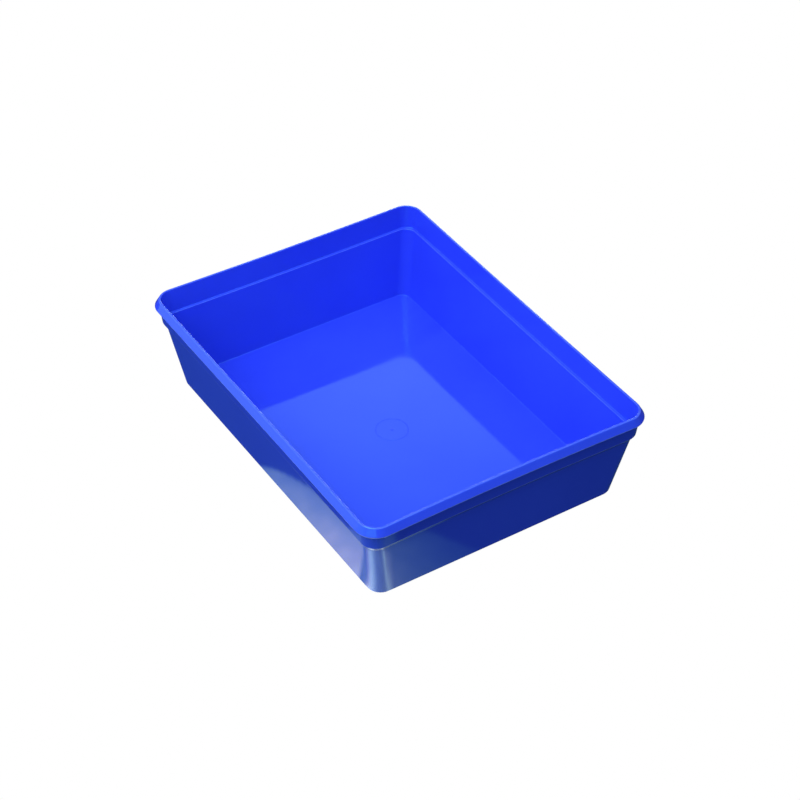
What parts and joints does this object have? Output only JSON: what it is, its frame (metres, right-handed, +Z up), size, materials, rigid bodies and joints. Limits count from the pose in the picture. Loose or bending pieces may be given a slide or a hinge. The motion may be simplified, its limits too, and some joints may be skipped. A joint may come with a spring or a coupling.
{
  "type": "mud pan",
  "caption": "Shallow rectangular open tub for joint compound, with drafted walls, rounded corners, a stacking collar and a sloping rim.",
  "frame": {"origin": "centre of the flat underside", "axes": "+X along the pan's length, +Y across its width, +Z up out of the open mouth"},
  "size_m": [0.3556, 0.2696, 0.0878],
  "materials": {
    "blue_plastic": "smooth glossy injection-moulded plastic, solid royal blue"
  },
  "bodies": {
    "root": {"pan_shell": "blue_plastic"}
  },
  "joints": []
}
